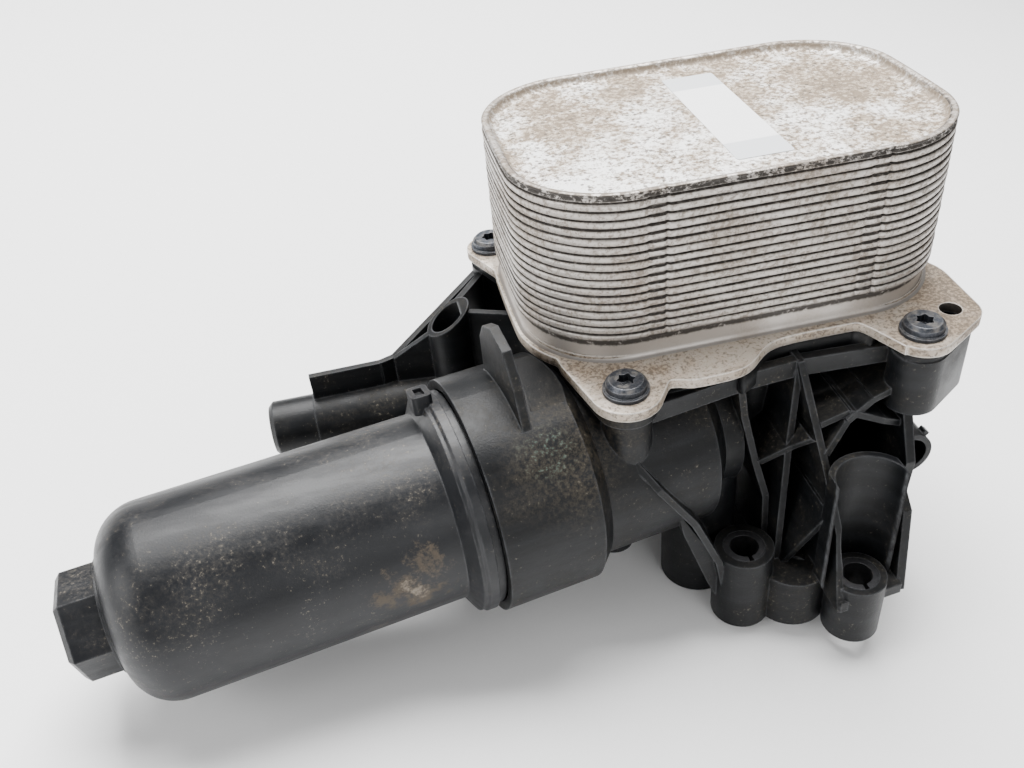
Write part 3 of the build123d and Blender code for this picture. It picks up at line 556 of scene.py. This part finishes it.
def cooler_outline():
    """Points and outward normals round the cooler, counter-clockwise.

    A quarter circle at one corner is mirrored to all four and joined by straight sides. The loop is stepped
    evenly, and finer at the kinks of its front side. The short sides bow out by the bulge times
    1 - (y / half depth) squared.
    """
    half_length = cooler_length / 2 - cooler_side_bulge
    half_depth = cooler_depth / 2
    turn = np.linspace(0.0, np.pi / 2, corner_points)
    corner_x = half_length + cooler_corner * (np.cos(turn) - 1.0)
    corner_y = half_depth + cooler_corner * (np.sin(turn) - 1.0)
    corner = np.column_stack([corner_x, corner_y])
    turned = corner[::-1]
    loop = np.concatenate([corner, turned * (-1, 1), corner * (-1, -1), turned * (1, -1), corner[:1]])
    run = np.concatenate([[0.0], np.cumsum(np.hypot(*np.diff(loop, axis=0).T))])
    front = 3 * len(turn) - 1
    near = np.arange(-kink_spacing - 4 * kink_step, 4 * kink_step, kink_step)
    steps = [np.arange(0.0, run[-1] - outline_step / 2, outline_step)]
    steps += [run[front] + place - loop[front, 0] + near for place in kink_places]
    steps = np.unique(np.round(np.concatenate(steps) / kink_step)) * kink_step
    x = np.interp(steps, run, loop[:, 0])
    y = np.interp(steps, run, loop[:, 1])
    x = x + np.sign(x) * cooler_side_bulge * (1.0 - (y / half_depth) ** 2)
    along_x = np.roll(x, -1) - np.roll(x, 1)
    along_y = np.roll(y, -1) - np.roll(y, 1)
    length = np.hypot(along_x, along_y)
    return np.stack([x, y]), np.stack([along_y, -along_x]) / length


def placed(name, data):
    """New object of a mesh, light or camera, in the scene."""
    made = bpy.data.objects.new(name, data)
    bpy.context.scene.collection.objects.link(made)
    return made


def skin(name, grid):
    """Closed piece over a grid of points.

    Rows run along a profile and columns close round it. The first and last row shrink to one point each.
    """
    rows, columns = grid.shape[:2]
    points = np.concatenate([grid[:1, 0], grid[1:-1].reshape(-1, 3), grid[-1:, 0]])
    here = 1 + np.arange((rows - 2) * columns).reshape(rows - 2, columns)
    beside = np.roll(here, -1, axis=1)
    quads = np.stack([here[:-1], beside[:-1], beside[1:], here[1:]], axis=-1).reshape(-1, 4)
    first = np.stack([np.zeros(columns, int), beside[0], here[0]], axis=-1)
    last = np.stack([here[-1], beside[-1], np.full(columns, len(points) - 1)], axis=-1)
    mesh = bpy.data.meshes.new(name)
    mesh.from_pydata(points.tolist(), [], first.tolist() + quads.tolist() + last.tolist())
    mesh.shade_smooth()
    return placed(name, mesh)


def merged_copy(node):
    """Copy of a node's solid to work on, with its doubled corners merged."""
    work = bmesh.new()
    work.from_mesh(frame["nodes"][node].data)
    bmesh.ops.remove_doubles(work, verts=work.verts, dist=weld_distance)
    return work


def finished(name, work):
    """New piece of a worked copy, with its faces turned outwards and shaded smooth."""
    bmesh.ops.recalc_face_normals(work, faces=work.faces)
    mesh = bpy.data.meshes.new(name)
    work.to_mesh(mesh)
    work.free()
    mesh.shade_smooth()
    return placed(name, mesh)


def kinks(x, y):
    """Lift and dent of the plates at the two kinks of the front side.

    The lift is the difference of two smooth steps, one on each side of the kink's width. The dent is a
    narrow bell at its right edge and a fainter one at its left. Both fade with a smooth step along Y.
    """
    front = rise(-y, cooler_depth / 2 - kink_reach, kink_fade)
    lift = np.zeros_like(x)
    dent = np.zeros_like(x)
    for place in kink_places:
        lift += rise(x, place - kink_spacing, kink_softness) - rise(x, place, kink_softness)
        dent += np.exp(-((x - place) / dent_width) ** 2)
        dent += faint_dent * np.exp(-((x - place + kink_spacing) / faint_dent_width) ** 2)
    return kink_lift * lift * front, kink_depth * dent * front


def plate_stack():
    """Skirt, stacked plates, rim and pan of the cooler, as one closed skin.

    The profile gives a growth outwards and a height for each row. Every plate repeats the same edge: it
    leaves the joint, swells out and turns back in at the top. Sine waves round the cooler, with phases of
    its own for each plate, keep the edges from being perfectly even.
    """
    outline, normal = cooler_outline()
    x, y = outline
    around = np.linspace(0.0, 2 * np.pi, len(x), endpoint=False)
    lift, dent = kinks(x, y)
    chance = np.random.default_rng(plate_seed)

    foot = -skirt_inset
    sunk = base_top - skirt_sink
    skirt = [
        (foot - 6 * mm, sunk), (foot + 1.5 * mm, sunk), (foot + 1.5 * mm, base_top),
        (foot + 0.8 * mm, base_top + 0.2 * mm), (foot + 0.25 * mm, base_top + 0.8 * mm),
        (foot, base_top + 1.8 * mm), (foot, stack_bottom - 1.6 * mm),
        (foot + 0.3 * mm, stack_bottom - 0.6 * mm), (foot + 0.8 * mm, stack_bottom - 0.1 * mm),
    ]
    rim = [
        (-0.3 * mm, rim_top - 1.2 * mm), (0.35 * mm, rim_top - 0.9 * mm), (0.5 * mm, rim_top - 0.4 * mm),
        (0.2 * mm, rim_top - 0.05 * mm), (-0.3 * mm, rim_top), (-rim_width + 0.3 * mm, rim_top - 0.1 * mm),
    ]
    rows = [(grow + 0 * x, height + 0 * x) for grow, height in skirt]
    for plate in range(plate_count):
        wave_a, wave_b, wave_c = chance.uniform(0, 2 * np.pi, 3)
        sway = plate_sway * np.sin(sway_waves * around + wave_a)
        sway += plate_ripple * np.sin(ripple_waves * around + wave_b)
        drift = plate_drift * np.sin(drift_waves * around + wave_c)
        kept = top_plate_parts if plate == plate_count - 1 else len(plate_parts)
        for share, out in zip(plate_parts[:kept], plate_swell):
            level = stack_bottom + (plate + share) * plate_pitch + drift + lift
            rows.append((out + sway - dent * (0.4 + 0.6 * share), level))
    rows += [(grow - dent * 0.6, height + lift * 0.3) for grow, height in rim]
    grow, height = (np.array(values) for values in zip(*rows))
    grid = np.stack([x + normal[0] * grow, y + normal[1] * grow, height], axis=-1)
    pan = pan_rows(outline, normal)
    low = np.zeros((1, len(x), 3)) + (0.0, 0.0, sunk)
    piece = skin("plate_stack", np.concatenate([low, grid, pan]))
    in_pan = np.arange(len(piece.data.polygons)) >= (1 + len(grid)) * len(x)
    piece.data.polygons.foreach_set("material_index", in_pan.astype(int))
    return piece


def pan_rows(outline, normal):
    """Rows from the inner edge of the rim to the middle of the pan.

    The wall slopes down and turns into the floor along a quarter ellipse, and the floor is the same outline
    scaled down to its centre.
    """
    turn = np.linspace(0.0, np.pi / 2, pan_wall_rows)
    level = np.ones(len(pan_floor_scales))
    inset = -rim_width - pan_start_in - pan_wall_run * (1 - np.cos(turn))
    drop = rim_top - pan_start_down - (pan_depth - pan_start_down) * np.sin(turn)
    grow = np.concatenate([inset, level * (inset[-1] - pan_floor_in)])[:, None]
    height = np.concatenate([drop, level * pan_height])[:, None]
    scale = np.concatenate([np.ones(pan_wall_rows), pan_floor_scales])[:, None]
    x = (outline[0] + normal[0] * grow) * scale
    y = (outline[1] + normal[1] * grow) * scale
    return np.stack([x, y, height + 0 * x], axis=-1)


def front_edge(x):
    """Y of the front edge of the base plate.

    A logistic step carries the lobe back to the middle, a small one raises its root at the left, and a
    softened ramp, the logarithm of one plus an exponential, runs down to the lug at the right.
    """
    lobe = edge_lobe * (1.0 - rise(x, edge_lobe_end, edge_lobe_sweep))
    root = edge_root_rise * (1.0 - rise(x, edge_root_end, edge_root_sweep))
    ramp = edge_lug_softness * np.logaddexp(0.0, (x - edge_lug_start) / edge_lug_softness)
    return edge_middle - lobe + root - edge_lug_slope * ramp


def sliced(work, place, normal, keep_beyond=True):
    """Cut a worked copy through along a plane, and take off what lies beyond it if that isn't kept."""
    everything = work.verts[:] + work.edges[:] + work.faces[:]
    return bmesh.ops.bisect_plane(
        work, geom=everything, plane_co=place, plane_no=normal, clear_outer=not keep_beyond,
    )


def cooler_base():
    """Base plate: a copy of the cooler's solid cut off inside the skirt, its front edge drawn to its curve.

    The copy is sliced in even steps along X, and every corner of its front edge between the two ends moves
    out to the curve.
    """
    work = merged_copy("cooler_core")
    cut = sliced(work, (0, 0, base_cut), (0, 0, 1), keep_beyond=False)
    edges = [part for part in cut["geom_cut"] if isinstance(part, bmesh.types.BMEdge)]
    bmesh.ops.holes_fill(work, edges=edges, sides=0)
    for station in np.arange(edge_start, edge_end, edge_step):
        sliced(work, (station, 0, 0), (1, 0, 0))
    for corner in work.verts:
        x, y, z = corner.co
        outside = y < -cooler_depth / 2 - edge_margin and z < base_top + weld_distance
        if outside and edge_start <= x <= edge_end:
            corner.co.y = min(y, float(front_edge(x)))
    bmesh.ops.remove_doubles(work, verts=work.verts, dist=weld_distance)
    bmesh.ops.dissolve_limit(work, angle_limit=level_angle, verts=work.verts, edges=work.edges)
    piece = finished("cooler_base", work)
    bevel = piece.modifiers.new("soft_edges", "BEVEL")
    bevel.width = base_bevel
    bevel.segments = 2
    bevel.limit_method = "ANGLE"
    bevel.angle_limit = sharp_angle
    bevel.harden_normals = True
    return piece


def swept(name, path, profile):
    """Closed bar: a profile of (across, up) points carried along a path of (x, y) points.

    Across is measured square to the path in plan. Both ends are closed by their middle point.
    """
    heading = np.gradient(path, axis=0)
    heading /= np.hypot(*heading.T)[:, None]
    side = np.column_stack([heading[:, 1], -heading[:, 0]])
    flat = path[:, None] + side[:, None] * profile[None, :, :1]
    grid = np.concatenate([flat, np.broadcast_to(profile[None, :, 1:], flat.shape[:2] + (1,))], axis=-1)
    ends = [np.broadcast_to(grid[k].mean(axis=0), grid[k].shape)[None] for k in (0, -1)]
    return skin(name, np.concatenate([ends[0], grid, ends[1]]))


def deck_lip():
    """Moulded lip of the deck, which follows the front edge of the base plate a little way in."""
    x = np.linspace(*lip_span, lip_steps)
    path = np.column_stack([x, front_edge(x) + lip_inset])
    low = base_bottom - lip_height
    half = lip_thickness / 2
    profile = np.array([
        (half, low + lip_rounding), (half, base_bottom), (-half, base_bottom), (-half, low + lip_rounding),
        (-half + lip_rounding, low), (half - lip_rounding, low),
    ])
    return swept("deck_lip", path, profile)


def working_spring(name, node):
    """Merged copy of a spring's solid, with its sharp edges kept, in spring steel, shown in place of the
    solid.
    """
    piece = finished(name, merged_copy(node))
    mesh = piece.data
    mesh.set_sharp_from_angle(angle=sharp_angle)
    mesh.materials.append(finishes["spring_steel"])
    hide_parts(node)
    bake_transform(piece)


def dress(piece, finish, body):
    """Finishes, body and material slot of a new piece."""
    for material in finish:
        piece.data.materials.append(material)
    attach(piece, body)


def lowest_plane():
    """Normal and distance of the floor.

    It is parallel to the plane through three contacts, and touches the lowest point of the object.
    """
    a, b, c = (Vector(place) for place in (cap_contact, front_contact, back_contact))
    normal = (b - a).cross(c - a).normalized()
    if normal.z < 0:
        normal = -normal
    lowest = 1.0
    for node in frame["nodes"].values():
        points = np.empty(len(node.data.vertices) * 3)
        node.data.vertices.foreach_get("co", points)
        lowest = min(lowest, (points.reshape(-1, 3) @ np.array(normal)).min())
    return normal, lowest


def studio_floor(finish):
    """Round flat floor on the plane that the object lies on."""
    normal, distance = lowest_plane()
    turn = np.linspace(0.0, 2 * np.pi, floor_points, endpoint=False)[:, None]
    side = normal.orthogonal().normalized()
    across = normal.cross(side)
    ring = np.array(normal) * distance + floor_radius * (np.cos(turn) * side + np.sin(turn) * across)
    mesh = bpy.data.meshes.new("studio_floor")
    mesh.from_pydata(ring.tolist(), [], [list(range(len(ring)))])
    mesh.materials.append(finish)
    floor = placed("studio_floor", mesh)


def softbox(name, place, size, power):
    """Square area light that faces the object."""
    lamp = bpy.data.lights.new(name, "AREA")
    lamp.shape = "SQUARE"
    lamp.size = size
    lamp.energy = power
    holder = placed(name, lamp)
    holder.location = place
    holder.rotation_euler = (Vector(light_target) - Vector(place)).to_track_quat("-Z", "Y").to_euler()


def photo_camera():
    """Camera that looks at the object as the photograph does."""
    lens = bpy.data.cameras.new("photo_camera")
    lens.lens = camera_lens
    lens.sensor_width = camera_sensor
    lens.clip_start = camera_nearest
    camera = placed("photo_camera", lens)
    back = -Vector(camera_forward)
    up = -Vector(camera_down)
    turn = Matrix((camera_right, up, back)).transposed().to_4x4()
    camera.matrix_world = Matrix.Translation(camera_place) @ turn
    bpy.context.scene.camera = camera


def bright_room(strength):
    """Even white surroundings."""
    world = bpy.data.worlds.new("bright_room")
    world.use_nodes = True
    sky = world.node_tree.nodes["Background"]
    sky.inputs["Color"].default_value = (1.0, 1.0, 1.0, 1.0)
    sky.inputs["Strength"].default_value = strength
    bpy.context.scene.world = world


finishes = {
    "moulded_nylon": moulded_nylon(),
    "cap_nylon": cap_nylon(),
    "cooler_aluminium": cooler_aluminium(),
    "label": label(),
    "screw_steel": screw_steel(),
    "sleeve_steel": sleeve_steel(),
    "seal_rubber": seal_rubber(),
    "filter_paper": filter_paper(),
    "inner_plastic": inner_plastic(),
    "spring_steel": spring_steel(),
}
for part in frame["record"]["subparts"]:
    for holder in frame["nodes"][part["node"]].material_slots:
        holder.material = finishes[part["material_slot"]]

stack = plate_stack()
dress(stack, (plate_metal(), pan_metal()), "housing")
base = cooler_base()
dress(base, (finishes["cooler_aluminium"],), "housing")
lip = deck_lip()
dress(lip, (finishes["moulded_nylon"],), "housing")
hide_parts("cooler_core")
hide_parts("cooler_core")
working_spring("bypass_coil", "bypass_spring")
working_spring("check_coil", "check_spring")

studio_floor(floor_white())
photo_camera()
bright_room(room_brightness)
for light, (place, size, power) in lights.items():
    softbox(light, place, size, power)
